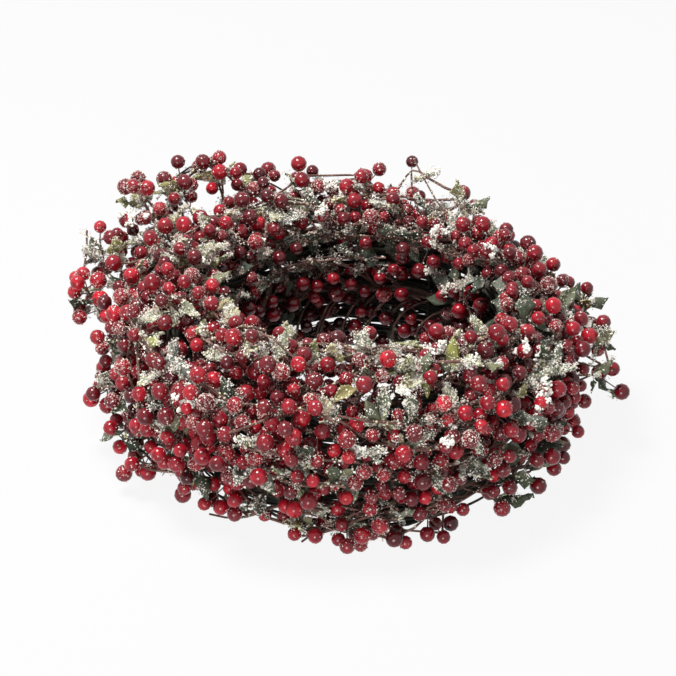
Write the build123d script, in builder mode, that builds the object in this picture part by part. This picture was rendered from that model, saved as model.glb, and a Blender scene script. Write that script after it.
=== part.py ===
from build123d import *
import os
from dataclasses import dataclass
from math import cos, degrees, pi, radians, sin, tan
import numpy as np

os.makedirs("parts", exist_ok=True)

# Millimetres. The origin lies on the table, in the middle of the candle opening.
# Candle opening and table
candle_clear_radius = 60.0
table_gap = 1.0

# Twig cage: hoops of vine twig bound into a ring with an upright, rounded section
cage_inner_radius = 83.0
cage_outer_radius = 100.0
cage_height = 66.0
cage_corner_radius = 8.0
hoop_count = 14
twig_diameter = 2.6
base_hoop_diameter = 6.4
base_flat_depth = 0.6

# Binding wires round the whole cage, and clearance between pieces that are bound together
bind_wire_count = 12
bind_wire_diameter = 0.9
bind_table_gap = 0.3
seat_gap = 0.3

# Spray stems: twigs laid along some of the hoops, outside the binding wires, and tied to them
lane_shares = (1 / 7, 2 / 7, 3 / 7, 1 / 2, 5 / 7)
stems_per_lane = 2
stem_end_gap = 14.0
stem_start_angle = 40.0
lane_stagger = 47.0
tie_wire_diameter = 0.8
ties_per_stem = 3

# Sprigs: side twigs that leave a stem at a rake and bend out to a berry cluster
sprig_diameter = 1.6
sprig_rake = 50.0
sprig_leads = (17.0, 12.0, 22.0, 8.0)
least_turn = 4.0
greatest_turn = 62.0
side_reach = 14.5
side_lean = 12.5
top_reach = 17.0
top_lean = 10.0
inner_reach = 8.0
fuller_azimuth = 198.0
angle_scatter = 8.0
azimuth_scatter = 2.5
reach_scatter = 0.15

# Rows of sprigs: lane, direction in the section (0 outward, 90 up), sprigs round the ring, share of reach
sprig_rows = (
    (0, -32, 31, 0.5),
    (0, 32, 32, 0.7),
    (1, 20, 33, 0.95),
    (2, -5, 33, 1.0),
    (2, 45, 30, 1.0),
    (3, 60, 26, 1.0),
    (3, 100, 22, 1.0),
    (3, 140, 18, 1.0),
    (4, 130, 19, 1.1),
    (4, 190, 15, 0.9),
    (4, 245, 25, 1.9),
)

# Sprigs that stand out of the ring: lane, azimuth, tip radius, tip height, berries, leaves
standout_sprigs = (
    (2, 128, 130, 104, 9, 2),
    (2, 138, 136, 101, 9, 2),
    (2, 149, 143, 106, 4, 2),
    (1, 163, 150, 92, 2, 3),
    (1, 174, 150, 78, 9, 1),
    (2, 118, 120, 92, 9, 1),
    (2, 151, 126, 94, 9, 2),
    (2, 156, 138, 90, 9, 1),
    (2, 166, 141, 80, 9, 1),
    (1, 192, 140, 40, 9, 1),
    (0, 200, 136, 27, 9, 1),
    (0, 209, 133, 20, 9, 1),
    (3, 107, 111, 91, 7, 3),
    (3, 88, 108, 92, 9, 1),
    (3, 73, 104, 103, 1, 1),
    (3, 54, 101, 92, 2, 2),
    (1, 13, 128, 62, 2, 3),
    (1, 3, 130, 54, 6, 2),
    (1, -8, 132, 44, 3, 2),
    (0, -129, 118, 10, 3, 0),
    (0, -105, 117, 9, 4, 0),
    (0, -92, 119, 10, 6, 0),
    (0, -81, 119, 10, 6, 0),
    (0, -70, 118, 10, 5, 0),
    (0, -50, 112, 7, 0, 1),
    (3, -44, 84, 85, 9, 1),
    (3, -54, 80, 87, 9, 1),
    (3, -63, 82, 89, 9, 1),
    (3, -72, 79, 88, 9, 1),
    (3, -81, 81, 93, 9, 1),
    (3, -90, 78, 92, 9, 1),
    (3, -99, 81, 94, 9, 1),
    (3, -108, 79, 88, 9, 1),
    (3, -117, 82, 89, 9, 1),
    (3, -126, 80, 87, 9, 1),
    (3, -136, 84, 85, 9, 1),
    (4, 97, 66, 6, 6, 0),
    (4, 84, 66, 6, 6, 0),
    (4, 71, 66, 6, 6, 0),
    (4, 110, 66, 6, 6, 0),
    (4, 123, 66, 6, 6, 0),
    (4, 58, 66, 6, 6, 0),
    (3, 36, 77, 72, 9, 1),
    (3, 47, 77, 74, 9, 2),
    (3, 59, 77, 72, 9, 1),
    (3, 69, 77, 74, 9, 2),
    (3, 80, 77, 72, 9, 1),
    (3, 91, 77, 74, 9, 2),
    (3, 102, 77, 72, 9, 1),
    (3, 113, 77, 74, 9, 2),
    (3, 124, 77, 72, 9, 1),
    (3, 135, 77, 74, 9, 2),
    (3, 146, 77, 72, 9, 1),
    (4, 40, 72, 62, 9, 1),
    (4, 76, 72, 62, 9, 1),
    (4, 88, 72, 62, 9, 1),
    (4, 100, 72, 62, 9, 1),
    (4, 112, 72, 62, 9, 1),
    (4, 124, 72, 62, 9, 1),
    (4, 136, 72, 62, 9, 1),
)

# Parts of the outside left bare, where the twigs show: azimuth, height, radius of the patch
bare_patches = (
    (-122, 42, 13),
    (-56, 14, 14),
)

# Berries on their wires
berry_diameters = (8.6, 7.6, 9.6)
berry_gap = 0.35
berries_per_sprig = 11
wire_diameter = 0.7
wire_gap = 0.2
wire_lengths = (2.5, 5.0, 8.0, 11.0)
wire_spreads = (50.0, 72.0, 62.0)
berry_tries = 44
berry_step = 0.9
lowest_berry_share = 0.3
golden_angle = 137.5
least_outward = -0.4

# Leaves: folded blades on short stalks
leaf_lengths = (18.0, 15.0, 21.0)
leaf_widths = (9.5, 8.0, 11.0)
leaf_thickness = 0.6
leaf_fold = 18.0
leaf_stalk_length = 4.0
leaf_stalk_diameter = 0.9
leaf_stalk_run = 1.8
leaf_pattern = (1, 1, 0, 1, 2)
leaf_spread = 62.0
leaf_turns = (75.0, -75.0, 110.0, -110.0, 45.0, -45.0)
leaf_places = (0.85, 0.65, 0.95)

# Spacing of the points that stand for a piece when clearances are worked out
sample_step = 1.2
leaf_sample_step = 1.8
root_clear = 2.6

scatter = np.random.default_rng(12)


def polar(radius, azimuth, height):
    """Point at a radius, an azimuth in degrees and a height."""
    turn = radians(azimuth)
    return np.array([radius * cos(turn), radius * sin(turn), height])


def unit(vector):
    return vector / np.linalg.norm(vector)


# Where the cage's section runs, and the stem lanes outside it
cage_floor = bind_table_gap + bind_wire_diameter + seat_gap + twig_diameter / 2
cage_middle_radius = (cage_inner_radius + cage_outer_radius) / 2
bind_offset = twig_diameter / 2 + seat_gap + bind_wire_diameter / 2
lane_offset = twig_diameter + 2 * seat_gap + bind_wire_diameter


def cage_place(share):
    """Radius, height and outward angle at a share of the way round the cage's section."""
    half_floor = cage_middle_radius - cage_inner_radius - cage_corner_radius
    wall = cage_height - 2 * cage_corner_radius
    corner = pi / 2 * cage_corner_radius
    runs = (half_floor, corner, wall, corner, 2 * half_floor, corner, wall, corner, half_floor)
    left = share * sum(runs)
    radius, height, heading = cage_middle_radius, cage_floor, 0.0
    for number, run in enumerate(runs):
        step = min(left, run)
        if number % 2:
            turned = heading + step / cage_corner_radius
            radius += cage_corner_radius * (sin(turned) - sin(heading))
            height += cage_corner_radius * (cos(heading) - cos(turned))
            heading = turned
        else:
            radius += step * cos(heading)
            height += step * sin(heading)
        left -= step
    return radius, height, heading - pi / 2


def lane_hoop(lane):
    """Section place of the hoop that a lane's stems lie on."""
    return cage_place(round(lane_shares[lane] * hoop_count) / hoop_count)


def lane_place(lane):
    """Radius, height and outward angle of a lane's stems."""
    radius, height, outward = lane_hoop(lane)
    return radius + lane_offset * cos(outward), height + lane_offset * sin(outward), outward


def stem_span(lane, stem):
    """First and last azimuth of one of a lane's stems."""
    share = 360 / stems_per_lane
    end_angle = degrees(stem_end_gap / 2 / lane_place(lane)[0])
    start = stem_start_angle + lane_stagger * lane + share * stem
    return start + end_angle, start + share - end_angle


def tie_azimuths(lane, stem):
    """Azimuths of a stem's ties, midway between binding wires."""
    pitch = 360 / bind_wire_count
    first, last = stem_span(lane, stem)
    middles = [pitch * (k + 0.5) for k in range(int(first // pitch), int(last // pitch) + 1)]
    inside = [m for m in middles if first < m - pitch / 4 and m + pitch / 4 < last]
    picks = np.linspace(0, len(inside) - 1, ties_per_stem).round().astype(int)
    return [inside[k] for k in picks]


class Room:
    """The space still free: balls for what is placed, and circles for hoops and stems."""

    def __init__(self):
        self.points = np.empty((0, 3))
        self.radii = np.empty(0)
        self.rings = np.empty((0, 3))

    def add(self, points, radius):
        points = np.atleast_2d(points)
        self.points = np.vstack([self.points, points])
        self.radii = np.append(self.radii, np.full(len(points), radius))

    def add_ring(self, radius, height, thickness):
        self.rings = np.vstack([self.rings, (radius, height, thickness)])

    def clear(self, points, radius, gap=seat_gap, rings=True):
        """True where balls of this radius touch nothing, the candle space or the table."""
        points = np.atleast_2d(points)
        from_axis = np.hypot(points[:, 0], points[:, 1])
        if points[:, 2].min() - radius < table_gap:
            return False
        if from_axis.min() - radius < candle_clear_radius:
            return False
        if rings:
            across = from_axis[:, None] - self.rings[:, 0]
            above = points[:, 2][:, None] - self.rings[:, 1]
            if (np.hypot(across, above) - self.rings[:, 2]).min() < radius + gap:
                return False
        reach = radius + gap + self.radii.max()
        beside = (self.points > points.min(axis=0) - reach) & (self.points < points.max(axis=0) + reach)
        near = beside.all(axis=1)
        if not near.any():
            return True
        apart = np.linalg.norm(points[:, None] - self.points[near], axis=2) - self.radii[near]
        return bool(apart.min() >= radius + gap)


@dataclass
class Arc:
    """Circular arc from a start, along a heading there, to an end."""

    start: np.ndarray
    heading: np.ndarray
    end: np.ndarray

    def __post_init__(self):
        chord = self.end - self.start
        self.chord = np.linalg.norm(chord)
        self.turn = np.arccos(np.clip(np.dot(self.heading, chord) / self.chord, -1, 1))
        self.side = unit(chord - np.dot(chord, self.heading) * self.heading)
        self.length = self.chord * self.turn / sin(self.turn)

    def point(self, share):
        swing = self.turn * share
        way = cos(swing) * self.heading + sin(swing) * self.side
        return self.start + self.chord * sin(swing) / sin(self.turn) * way

    def direction(self, share):
        swing = 2 * self.turn * share
        return cos(swing) * self.heading + sin(swing) * self.side

    def samples(self, first=0.0):
        """Evenly spaced points along the arc, from a distance after its start."""
        count = max(int((self.length - first) / sample_step), 2)
        return np.array([self.point(s) for s in np.linspace(first / self.length, 1, count)])


room = Room()

# Hoops: plain twigs, and a stouter base hoop that is flat underneath and notched for wires
for number in range(1, hoop_count):
    hoop_radius, hoop_height, _ = cage_place(number / hoop_count)
    with BuildPart() as hoop:
        with Locations((0, 0, hoop_height)):
            Torus(hoop_radius, twig_diameter / 2, align=None)
    room.add_ring(hoop_radius, hoop_height, twig_diameter / 2)
    hoop.part.label = f"twig_hoop_{number:02d}"
    export_step(hoop.part, f"parts/{hoop.part.label}.step")

base_height = base_hoop_diameter / 2 - base_flat_depth
notch_width = bind_wire_diameter + 2 * seat_gap
notch_depth = bind_table_gap + bind_wire_diameter + seat_gap
with BuildPart() as base_hoop:
    with Locations((0, 0, base_height)):
        Torus(cage_middle_radius, base_hoop_diameter / 2, align=None)
    split(bisect_by=Plane.XY, keep=Keep.TOP)
    with PolarLocations(cage_middle_radius, bind_wire_count):
        Box(
            base_hoop_diameter,
            notch_width,
            notch_depth,
            align=(Align.CENTER, Align.CENTER, Align.MIN),
            mode=Mode.SUBTRACT,
        )
room.add_ring(cage_middle_radius, base_height, base_hoop_diameter / 2)
base_hoop.part.label = "base_hoop"
export_step(base_hoop.part, "parts/base_hoop.step")

# Binding wires: upright loops round every hoop, spaced evenly round the ring
bind_low = cage_floor - bind_offset
bind_high = cage_floor + cage_height + bind_offset
bind_inner = cage_inner_radius - bind_offset
bind_outer = cage_outer_radius + bind_offset
with BuildPart() as bind_loop:
    with BuildLine(Plane.XZ) as bind_path:
        FilletPolyline(
            (bind_inner, bind_low),
            (bind_outer, bind_low),
            (bind_outer, bind_high),
            (bind_inner, bind_high),
            radius=cage_corner_radius + bind_offset,
            close=True,
        )
    with BuildSketch(Plane(origin=bind_path.line @ 0, z_dir=bind_path.line % 0)):
        Circle(bind_wire_diameter / 2)
    sweep(path=bind_path.line)
with BuildPart() as binding_wires:
    with PolarLocations(0, bind_wire_count):
        add(bind_loop.part)
bind_samples = int(bind_path.wires()[0].length / sample_step)
for k in range(bind_samples):
    radius, height, outward = cage_place(k / bind_samples)
    radius += bind_offset * cos(outward)
    height += bind_offset * sin(outward)
    for wire in range(bind_wire_count):
        room.add(polar(radius, 360 / bind_wire_count * wire, height), bind_wire_diameter / 2)
binding_wires.part.label = "binding_wires"
export_step(binding_wires.part, "parts/binding_wires.step")

# Spray stems: arcs of twig along each lane
spray_count = len(lane_shares) * stems_per_lane
for lane in range(len(lane_shares)):
    stem_radius, stem_height, _ = lane_place(lane)
    room.add_ring(stem_radius, stem_height, twig_diameter / 2)
    for side in range(stems_per_lane):
        first, last = stem_span(lane, side)
        with BuildPart() as stem:
            with Locations(Location((0, 0, stem_height), (0, 0, first))):
                Torus(stem_radius, twig_diameter / 2, major_angle=last - first, align=None)
        stem.part.label = f"spray_{lane * stems_per_lane + side + 1:02d}_stem"
        export_step(stem.part, f"parts/{stem.part.label}.step")

# Stem ties: wire loops round a stem and its hoop
tie_radius = twig_diameter / 2 + seat_gap + tie_wire_diameter / 2
tie_loops = []
for lane in range(len(lane_shares)):
    hoop_radius, hoop_height, outward = lane_hoop(lane)
    away = np.array([cos(outward), sin(outward)])
    across = np.array([-sin(outward), cos(outward)])
    hoop_middle = np.array([hoop_radius, hoop_height])
    stem_middle = hoop_middle + lane_offset * away
    hoop_corners = [tuple(hoop_middle + side * tie_radius * across) for side in (1, -1)]
    stem_corners = [tuple(stem_middle + side * tie_radius * across) for side in (1, -1)]
    with BuildPart() as tie_loop:
        with BuildLine(Plane.XZ) as tie_path:
            Line(hoop_corners[0], stem_corners[0])
            ThreePointArc(stem_corners[0], tuple(stem_middle + tie_radius * away), stem_corners[1])
            Line(stem_corners[1], hoop_corners[1])
            ThreePointArc(hoop_corners[1], tuple(hoop_middle - tie_radius * away), hoop_corners[0])
        with BuildSketch(Plane(origin=tie_path.line @ 0, z_dir=tie_path.line % 0)):
            Circle(tie_wire_diameter / 2)
        sweep(path=tie_path.line)
    for side in range(stems_per_lane):
        for azimuth in tie_azimuths(lane, side):
            tie_loops.append((tie_loop.part, azimuth))
            for step in np.arange(-tie_radius, lane_offset + tie_radius + sample_step, sample_step):
                for lift in (-tie_radius, 0, tie_radius):
                    radius, height = hoop_middle + step * away + lift * across
                    room.add(polar(radius, azimuth, height), tie_wire_diameter / 2 + seat_gap)
with BuildPart() as stem_ties:
    for loop, azimuth in tie_loops:
        with Locations(Location((0, 0, 0), (0, 0, azimuth))):
            add(loop)
stem_ties.part.label = "stem_ties"
export_step(stem_ties.part, "parts/stem_ties.step")


# Sprigs: each bends from its stem to a tip, clear of what is already there
@dataclass
class Sprig:
    spray: int
    arc: Arc
    outward: np.ndarray
    berries: int
    leaves: int


def grow_sprig(lane, azimuth, tip_radius, tip_height, berries, leaves):
    """A sprig from the lane's stem to the tip, or None where there is no room for one."""
    stem_radius, stem_height, outward = lane_place(lane)
    tip = polar(tip_radius, azimuth, tip_height)
    for lead in sprig_leads:
        root_azimuth = azimuth - degrees(lead / stem_radius)
        out = polar(cos(outward), root_azimuth, sin(outward))
        along = polar(1, root_azimuth + 90, 0)
        heading = cos(radians(sprig_rake)) * out + sin(radians(sprig_rake)) * along
        lift = twig_diameter / 2 + seat_gap + sprig_diameter / 2 * sin(radians(sprig_rake))
        arc = Arc(polar(stem_radius, root_azimuth, stem_height) + lift * out, heading, tip)
        if not radians(least_turn) < arc.turn < radians(greatest_turn):
            continue
        if not room.clear(arc.samples(root_clear), sprig_diameter / 2):
            continue
        if not room.clear(arc.samples(), sprig_diameter / 2, rings=False):
            continue
        for side in range(stems_per_lane):
            first, last = stem_span(lane, side)
            if (root_azimuth - first) % 360 < last - first:
                room.add(arc.samples(), sprig_diameter / 2)
                away = polar(tip_radius - stem_radius, azimuth, tip_height - stem_height)
                return Sprig(lane * stems_per_lane + side, arc, unit(away), berries, leaves)
    return None


def in_bare_patch(point):
    """True where a point lies over one of the patches that stay bare."""
    radius = np.hypot(point[0], point[1])
    for azimuth, height, size in bare_patches:
        if np.linalg.norm(point - polar(radius, azimuth, height)) < size:
            return True
    return False


sprigs = [grow_sprig(*standout) for standout in standout_sprigs]
for lane, section_angle, around, reach_share in sprig_rows:
    stem_radius, stem_height, _ = lane_place(lane)
    row_start = 360 * scatter.random()
    for k in range(around):
        azimuth = row_start + 360 / around * k + scatter.uniform(-azimuth_scatter, azimuth_scatter)
        angle = radians(section_angle + scatter.uniform(-angle_scatter, angle_scatter))
        stretch = reach_share * (1 + scatter.uniform(-reach_scatter, reach_scatter))
        lean = -cos(radians(azimuth - fuller_azimuth))
        sideways = side_reach - side_lean * lean if cos(angle) > 0 else inner_reach
        upward = top_reach - top_lean * lean
        tip_radius = stem_radius + stretch * sideways * cos(angle)
        tip_height = stem_height + stretch * upward * sin(angle)
        if in_bare_patch(polar(tip_radius, azimuth, tip_height)):
            continue
        leaves = leaf_pattern[k % len(leaf_pattern)]
        sprigs.append(grow_sprig(lane, azimuth, tip_radius, tip_height, berries_per_sprig, leaves))
sprigs = [sprig for sprig in sprigs if sprig]


def branch_direction(sprig, share, spread, turn):
    """Direction that leaves a sprig at a spread from it, turned round it from its outer side."""
    along = sprig.arc.direction(share)
    out = unit(sprig.outward - np.dot(sprig.outward, along) * along)
    aside = np.cross(along, out)
    round_about = cos(radians(turn)) * out + sin(radians(turn)) * aside
    return cos(radians(spread)) * along + sin(radians(spread)) * round_about


def branch_lift(radius, gap, spread):
    """Distance from a sprig's middle at which a branch of this radius starts clear of it."""
    return (sprig_diameter / 2 + gap + radius * cos(radians(spread))) / sin(radians(spread))


# Leaves: placed before the berries, so that they lie over the clusters
def leaf_points(length, width):
    """Points over a leaf that lies along X from its stalk's root."""
    points = [(x, 0, 0) for x in np.arange(root_clear, leaf_stalk_length, leaf_sample_step)]
    for x in np.linspace(0, length, int(length / leaf_sample_step)):
        half = width / 2 * (1 - (2 * x / length - 1) ** 2)
        for y in np.linspace(-half, half, 2 * int(half / leaf_sample_step) + 1):
            points.append((leaf_stalk_length + x, y, abs(y) * tan(radians(leaf_fold))))
    return np.array(points)


leaf_radius = leaf_thickness / 2 + leaf_sample_step / 2
leaves = [[[] for _ in leaf_lengths] for _ in range(spray_count)]
leaf_number = 0
for sprig in sprigs:
    turns = np.roll(leaf_turns, -leaf_number)
    wanted = sprig.leaves
    for place, turn in [(p, t) for p in leaf_places for t in turns]:
        if not wanted:
            break
        size = leaf_number % len(leaf_lengths)
        along = branch_direction(sprig, place, leaf_spread, turn)
        up = unit(sprig.outward - np.dot(sprig.outward, along) * along)
        root = sprig.arc.point(place)
        root = root + branch_lift(leaf_stalk_diameter / 2, wire_gap, leaf_spread) * along
        frame = np.array([along, np.cross(up, along), up])
        points = root + leaf_points(leaf_lengths[size], leaf_widths[size]) @ frame
        if room.clear(points, leaf_radius, gap=wire_gap):
            room.add(points, leaf_radius)
            leaf_plane = Plane(origin=tuple(root), x_dir=tuple(along), z_dir=tuple(up))
            leaves[sprig.spray][size].append(leaf_plane.location)
            leaf_number += 1
            wanted -= 1

# Berries: tried round each sprig from its tip down, on the shortest wire that has room
berries = [[[] for _ in berry_diameters] for _ in range(spray_count)]
wires = [[[] for _ in wire_lengths] for _ in range(spray_count)]
berry_number = 0
for sprig in sprigs:
    hung = 0
    for attempt in range(berry_tries):
        if hung == sprig.berries:
            break
        share = max(1 - attempt * berry_step / sprig.arc.length, lowest_berry_share)
        size = (berry_number + attempt) % len(berry_diameters)
        radius = berry_diameters[size] / 2
        if attempt:
            spread = wire_spreads[attempt % len(wire_spreads)]
            direction = branch_direction(sprig, share, spread, golden_angle * attempt)
            lift = branch_lift(wire_diameter / 2, wire_gap, spread)
        else:
            direction = sprig.arc.direction(1)
            lift = wire_gap
        if np.dot(direction, sprig.outward) < least_outward:
            continue
        root = sprig.arc.point(share) + lift * direction
        for number, length in enumerate(wire_lengths):
            middle = root + (length + wire_gap + radius) * direction
            steps = np.arange(root_clear - lift, length, sample_step) if attempt else [length]
            wire = root + np.outer(steps, direction)
            if not room.clear(middle, radius, gap=berry_gap):
                continue
            if not room.clear(wire, wire_diameter / 2, gap=wire_gap):
                continue
            room.add(middle, radius)
            room.add(wire, wire_diameter / 2)
            berries[sprig.spray][size].append(tuple(middle))
            wires[sprig.spray][number].append(Plane(origin=tuple(root), z_dir=tuple(direction)).location)
            berry_number += 1
            hung += 1
            break

print(f"{len(sprigs)} sprigs, {leaf_number} leaves, {berry_number} berries")

# Leaf blades: a folded section run along the leaf, cut to a pointed oval, on a round stalk
leaf_blades = []
for length, width in zip(leaf_lengths, leaf_widths):
    edge_rise = width / 2 * tan(radians(leaf_fold))
    with BuildPart() as leaf:
        with BuildSketch(Plane.YZ.offset(leaf_stalk_length)):
            with BuildLine():
                Polyline(
                    (-width / 2, edge_rise),
                    (0, 0),
                    (width / 2, edge_rise),
                    (width / 2, edge_rise + leaf_thickness),
                    (0, leaf_thickness),
                    (-width / 2, edge_rise + leaf_thickness),
                    close=True,
                )
            make_face()
        extrude(amount=length)
        with BuildSketch(Plane.XY):
            with BuildLine():
                base_point = (leaf_stalk_length, 0)
                tip_point = (leaf_stalk_length + length, 0)
                ThreePointArc(base_point, (leaf_stalk_length + length / 2, width / 2), tip_point)
                ThreePointArc(tip_point, (leaf_stalk_length + length / 2, -width / 2), base_point)
            make_face()
        extrude(amount=edge_rise + leaf_thickness, mode=Mode.INTERSECT)
        with BuildSketch(Plane.YZ):
            with Locations((0, leaf_thickness / 2)):
                Circle(leaf_stalk_diameter / 2)
        extrude(amount=leaf_stalk_length + leaf_stalk_run)
    leaf_blades.append(leaf.part)

# Each spray: its sprigs with their berry wires, its berries and its leaves
for spray in range(spray_count):
    with BuildPart() as spray_sprigs:
        for sprig in sprigs:
            if sprig.spray != spray:
                continue
            arc = sprig.arc
            with BuildLine() as bend:
                ThreePointArc(tuple(arc.start), tuple(arc.point(0.5)), tuple(arc.end))
            with BuildSketch(Plane(origin=tuple(arc.start), z_dir=tuple(arc.heading))):
                Circle(sprig_diameter / 2)
            sweep(path=bend.line)
        for length, places in zip(wire_lengths, wires[spray]):
            if places:
                with Locations(*places):
                    Cylinder(
                        wire_diameter / 2, length, align=(Align.CENTER, Align.CENTER, Align.MIN)
                    )
    spray_sprigs.part.label = f"spray_{spray + 1:02d}_sprigs"
    export_step(spray_sprigs.part, f"parts/{spray_sprigs.part.label}.step")

    with BuildPart() as spray_berries:
        for diameter, places in zip(berry_diameters, berries[spray]):
            if places:
                with Locations(*places):
                    Sphere(diameter / 2)
    spray_berries.part.label = f"spray_{spray + 1:02d}_berries"
    export_step(spray_berries.part, f"parts/{spray_berries.part.label}.step")

    with BuildPart() as spray_leaves:
        for blade, places in zip(leaf_blades, leaves[spray]):
            if places:
                with Locations(*places):
                    add(blade)
    spray_leaves.part.label = f"spray_{spray + 1:02d}_leaves"
    export_step(spray_leaves.part, f"parts/{spray_leaves.part.label}.step")
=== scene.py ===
from math import cos, pi, radians, sin, tan

import bmesh
import bpy
import numpy as np
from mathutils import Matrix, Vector


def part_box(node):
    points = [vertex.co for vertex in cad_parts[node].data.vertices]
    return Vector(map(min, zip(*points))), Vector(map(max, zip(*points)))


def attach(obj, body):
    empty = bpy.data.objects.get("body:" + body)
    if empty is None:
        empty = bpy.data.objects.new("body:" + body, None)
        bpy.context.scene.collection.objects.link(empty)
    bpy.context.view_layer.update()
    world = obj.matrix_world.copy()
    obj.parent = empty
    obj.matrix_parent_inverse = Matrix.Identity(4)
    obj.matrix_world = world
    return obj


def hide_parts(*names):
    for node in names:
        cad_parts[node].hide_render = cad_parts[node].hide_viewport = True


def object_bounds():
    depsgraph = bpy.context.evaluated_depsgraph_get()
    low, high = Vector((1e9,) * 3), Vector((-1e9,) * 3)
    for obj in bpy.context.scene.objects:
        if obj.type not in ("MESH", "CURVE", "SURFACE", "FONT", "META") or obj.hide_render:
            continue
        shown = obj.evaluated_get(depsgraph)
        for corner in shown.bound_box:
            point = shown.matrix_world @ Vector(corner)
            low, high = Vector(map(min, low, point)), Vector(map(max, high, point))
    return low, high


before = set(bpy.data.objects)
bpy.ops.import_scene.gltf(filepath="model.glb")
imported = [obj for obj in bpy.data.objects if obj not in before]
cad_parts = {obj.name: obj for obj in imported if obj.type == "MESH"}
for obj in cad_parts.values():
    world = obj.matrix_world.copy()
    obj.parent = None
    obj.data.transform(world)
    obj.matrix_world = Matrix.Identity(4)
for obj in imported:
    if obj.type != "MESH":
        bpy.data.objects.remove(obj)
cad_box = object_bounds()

scene = bpy.context.scene
spray_names = sorted(name[:-5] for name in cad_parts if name.endswith("_stem"))

# Camera
# A long lens looks down on the ring from the front, from well above its crest.
# The ring's middle sits right of and below the middle of the picture.
camera_elevation = radians(32.5)
camera_distance = 1.3
camera_target = Vector((-0.0116, 0.0047, 0.0517))
camera_data = bpy.data.cameras.new("camera")
camera_data.lens = 126
camera_data.sensor_width = 36
camera_data.clip_end = 20
camera = bpy.data.objects.new("camera", camera_data)
camera_back = Vector((0, -cos(camera_elevation), sin(camera_elevation)))
camera.location = camera_target + camera_distance * camera_back
camera.rotation_euler = camera_back.to_track_quat("Z", "Y").to_euler()
scene.collection.objects.link(camera)
scene.camera = camera


# Vine hoops
# The ring's core is a bundle of dark vine shoots, soaked, bent round and dried in hoops.
# Every hoop is several thin shoots that wander about each other, and two that weave far and wide.
# The shoots of the base are stouter and keep closer together.
def new_material(name):
    """A node material with its shader, ready for textures."""
    material = bpy.data.materials.new(name)
    material.use_nodes = True
    nodes = material.node_tree.nodes
    return material, nodes, material.node_tree.links, nodes["Principled BSDF"]


def colour_ramp(nodes, links, value, stops):
    """Colour ramp over a value, with the given position and colour stops."""
    ramp = nodes.new("ShaderNodeValToRGB")
    for number, (place, colour) in enumerate(stops):
        if number < 2:
            stop = ramp.color_ramp.elements[number]
            stop.position = place
        else:
            stop = ramp.color_ramp.elements.new(place)
        stop.color = (*colour, 1)
    links.new(value, ramp.inputs["Fac"])
    return ramp.outputs["Color"]


def noise_texture(nodes, links, scale, detail=3.0, roughness=0.6):
    """Noise fixed to the object's own coordinates."""
    coordinates = nodes.new("ShaderNodeTexCoord")
    noise = nodes.new("ShaderNodeTexNoise")
    noise.inputs["Scale"].default_value = scale
    noise.inputs["Detail"].default_value = detail
    noise.inputs["Roughness"].default_value = roughness
    links.new(coordinates.outputs["Object"], noise.inputs["Vector"])
    return noise.outputs["Fac"]


def add_bump(nodes, links, height, shader, strength, distance):
    """Bump from a height socket into the shader."""
    bump = nodes.new("ShaderNodeBump")
    bump.inputs["Strength"].default_value = strength
    bump.inputs["Distance"].default_value = distance
    links.new(height, bump.inputs["Height"])
    links.new(bump.outputs["Normal"], shader.inputs["Normal"])


def bark_material(name, dark, mid, pale, roughness):
    """Streaky bark: dark hollows, a mid tone and worn pale ridges."""
    material, nodes, links, shader = new_material(name)
    patches = noise_texture(nodes, links, scale=160, detail=4)
    colour = colour_ramp(nodes, links, patches, ((0.34, dark), (0.54, mid), (0.74, pale)))
    links.new(colour, shader.inputs["Base Color"])
    ridges = noise_texture(nodes, links, scale=900, detail=4)
    add_bump(nodes, links, ridges, shader, strength=0.6, distance=0.0006)
    shader.inputs["Roughness"].default_value = roughness
    return material


def finish_piece(name, mesh, slot, material, *nodes):
    """Puts a piece in the scene, gives it its material and ties it to the frame."""
    piece = bpy.data.objects.new(name, mesh)
    scene.collection.objects.link(piece)
    mesh.materials.append(material)
    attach(piece, "root")
    if nodes:
        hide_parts(*nodes)


def twig_mesh(name, runs, closed, sides):
    """Mesh of round twigs along runs of (x, y, z, radius) points."""
    curve = bpy.data.curves.new(name, "CURVE")
    curve.dimensions = "3D"
    curve.bevel_depth = 1
    curve.bevel_resolution = sides // 2 - 2
    curve.resolution_u = 2
    curve.use_fill_caps = True
    for points in runs:
        spline = curve.splines.new("NURBS")
        spline.points.add(len(points) - 1)
        spline.points.foreach_set("co", np.c_[points[:, :3], np.ones(len(points))].ravel())
        spline.points.foreach_set("radius", np.ascontiguousarray(points[:, 3]))
        spline.use_cyclic_u = closed
        spline.use_endpoint_u = not closed
        spline.order_u = 3
    carrier = bpy.data.objects.new(name, curve)
    mesh = bpy.data.meshes.new_from_object(carrier)
    bpy.data.objects.remove(carrier)
    bpy.data.curves.remove(curve)
    mesh.name = name
    return mesh


hoop_shoots = 6
hoop_weavers = 2
hoop_points = 64
hoop_sides = 6
hoop_waves = (1, 2, 3, 5, 8, 12)
wave_scatter = 0.55
wave_falloff = 0.6
hoop_wander = 0.0042
weaver_wander = 0.009
base_wander = 0.002
shoot_radius = 0.0008
base_shoot_radius = 0.0015
shoot_swell = 0.18
shoot_swells = 3
shoot_clearance = 1.3
hoop_draw = np.random.default_rng(41)
vine_bark = bark_material(
    "vine bark", (0.005, 0.007, 0.004), (0.018, 0.020, 0.011), (0.085, 0.070, 0.050), 0.8
)


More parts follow.
